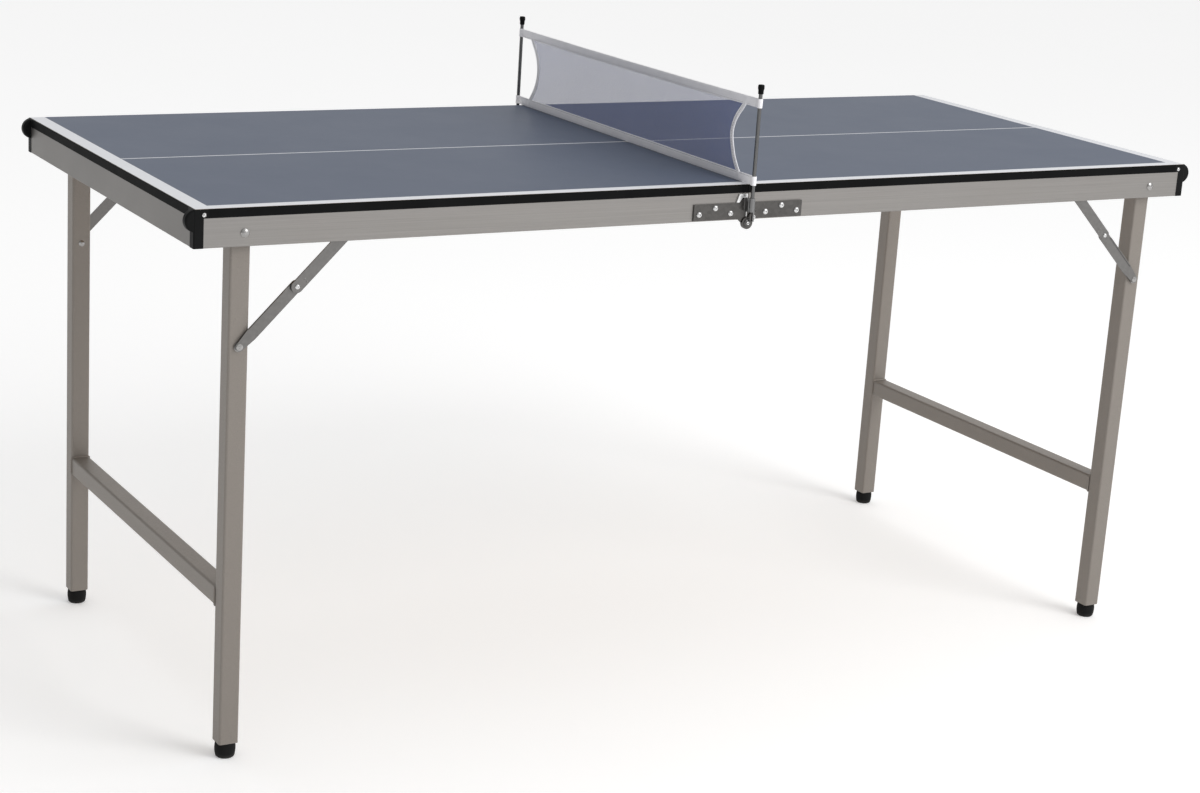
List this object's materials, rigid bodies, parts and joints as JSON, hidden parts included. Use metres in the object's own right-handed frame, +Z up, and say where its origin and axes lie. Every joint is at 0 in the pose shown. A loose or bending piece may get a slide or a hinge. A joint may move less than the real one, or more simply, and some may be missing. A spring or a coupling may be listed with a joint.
{
  "type": "ping pong table",
  "caption": "Small folding table tennis table with a blue board, folding leg frames with locking stays, and a lift-off net.",
  "frame": {"origin": "floor point below the centre of the table, under the fold", "axes": "+X along the table's length towards the right half, +Y across the table towards the far side, +Z up"},
  "size_m": [1.52, 0.6504, 0.82],
  "materials": {
    "table_blue": "painted board, satin slate blue with white lines",
    "edge_black": "satin black moulding",
    "rail_aluminium": "satin",
    "cap_black": "moulded, satin",
    "rivet_steel": "bright plated",
    "zinc_steel": "dark zinc plated",
    "stay_steel": "zinc plated",
    "bracket_aluminium": "bright",
    "leg_silver": "satin silver powder coat",
    "foot_rubber": "matt",
    "post_steel": "satin plated",
    "net_mesh": "knotless netting",
    "net_tape": "woven tape"
  },
  "bodies": {
    "half_left": {"board_left": "table_blue", "edge_strip_left": "edge_black", "side_rail_near_left": "rail_aluminium", "side_rail_far_left": "rail_aluminium", "end_rail_left": "rail_aluminium", "centre_rail_left": "rail_aluminium", "corner_cap_near_left": "cap_black", "corner_cap_far_left": "cap_black", "corner_screws_left": "rivet_steel", "hinge_plate_near_left": "zinc_steel", "hinge_plate_far_left": "zinc_steel", "hinge_rivets_left": "rivet_steel", "hinge_pins": "rivet_steel", "leg_brackets_left": "zinc_steel", "leg_pivots_left": "rivet_steel", "stay_studs_left": "rivet_steel", "net_bracket_near": "bracket_aluminium", "net_bracket_far": "bracket_aluminium"},
    "half_right": {"board_right": "table_blue", "edge_strip_right": "edge_black", "side_rail_near_right": "rail_aluminium", "side_rail_far_right": "rail_aluminium", "end_rail_right": "rail_aluminium", "centre_rail_right": "rail_aluminium", "corner_cap_near_right": "cap_black", "corner_cap_far_right": "cap_black", "corner_screws_right": "rivet_steel", "hinge_plate_near_right": "zinc_steel", "hinge_plate_far_right": "zinc_steel", "hinge_rivets_right": "rivet_steel", "leg_brackets_right": "zinc_steel", "leg_pivots_right": "rivet_steel", "stay_studs_right": "rivet_steel"},
    "leg_frame_left": {"leg_near_left": "leg_silver", "leg_far_left": "leg_silver", "stretcher_left": "leg_silver", "foot_near_left": "foot_rubber", "foot_far_left": "foot_rubber", "stay_pins_left": "rivet_steel"},
    "leg_frame_right": {"leg_near_right": "leg_silver", "leg_far_right": "leg_silver", "stretcher_right": "leg_silver", "foot_near_right": "foot_rubber", "foot_far_right": "foot_rubber", "stay_pins_right": "rivet_steel"},
    "net": {"net_post_near": "post_steel", "net_post_far": "post_steel", "net_post_caps": "cap_black", "net_top_tape": "net_tape", "net_bottom_tape": "net_tape", "net_side_tapes": "net_tape", "netting": "net_mesh"},
    "stay_upper_near_left": {"stay_upper_near_left": "stay_steel"},
    "stay_lower_near_left": {"stay_lower_near_left": "stay_steel"},
    "stay_upper_far_left": {"stay_upper_far_left": "stay_steel"},
    "stay_lower_far_left": {"stay_lower_far_left": "stay_steel"},
    "stay_upper_near_right": {"stay_upper_near_right": "stay_steel"},
    "stay_lower_near_right": {"stay_lower_near_right": "stay_steel"}
  },
  "joints": [
    {"name": "fold", "type": "hinge", "parent": "half_left", "child": "half_right", "pos_m": [0, 0, 0.64], "axis": [0, 1, 0], "range_deg": [0, 90]},
    {"name": "leg_fold_left", "type": "hinge", "parent": "half_left", "child": "leg_frame_left", "pos_m": [-0.6875, 0, 0.66], "axis": [0, -1, 0], "range_deg": [0, 90]},
    {"name": "leg_fold_right", "type": "hinge", "parent": "half_right", "child": "leg_frame_right", "pos_m": [0.6875, 0, 0.66], "axis": [0, 1, 0], "range_deg": [0, 90]},
    {"name": "net_lift", "type": "slide", "parent": "half_left", "child": "net", "axis": [0, 0, 1], "range_m": [0, 0.06]},
    {"name": "stay_upper_near_left_pivot", "type": "hinge", "parent": "half_left", "child": "stay_upper_near_left", "pos_m": [-0.5495, -0.303, 0.66], "axis": [0, 1, 0], "range_deg": [0, 45]},
    {"name": "stay_lower_near_left_pivot", "type": "hinge", "parent": "leg_frame_left", "child": "stay_lower_near_left", "pos_m": [-0.6875, -0.303, 0.522], "axis": [0, -1, 0], "range_deg": [0, 45]},
    {"name": "stay_upper_far_left_pivot", "type": "hinge", "parent": "half_left", "child": "stay_upper_far_left", "pos_m": [-0.5495, 0.303, 0.66], "axis": [0, 1, 0], "range_deg": [0, 45]},
    {"name": "stay_lower_far_left_pivot", "type": "hinge", "parent": "leg_frame_left", "child": "stay_lower_far_left", "pos_m": [-0.6875, 0.303, 0.522], "axis": [0, -1, 0], "range_deg": [0, 45]},
    {"name": "stay_upper_near_right_pivot", "type": "hinge", "parent": "half_right", "child": "stay_upper_near_right", "pos_m": [0.5495, -0.303, 0.66], "axis": [0, -1, 0], "range_deg": [0, 45]},
    {"name": "stay_lower_near_right_pivot", "type": "hinge", "parent": "leg_frame_right", "child": "stay_lower_near_right", "pos_m": [0.6875, -0.303, 0.522], "axis": [0, 1, 0], "range_deg": [0, 45]}
  ],
  "couplings": [
    {"joint": "stay_upper_near_left_pivot", "follows": "leg_fold_left", "ratio": 0.5},
    {"joint": "stay_lower_near_left_pivot", "follows": "leg_fold_left", "ratio": 0.5},
    {"joint": "stay_upper_far_left_pivot", "follows": "leg_fold_left", "ratio": 0.5},
    {"joint": "stay_lower_far_left_pivot", "follows": "leg_fold_left", "ratio": 0.5},
    {"joint": "stay_upper_near_right_pivot", "follows": "leg_fold_right", "ratio": 0.5},
    {"joint": "stay_lower_near_right_pivot", "follows": "leg_fold_right", "ratio": 0.5}
  ]
}
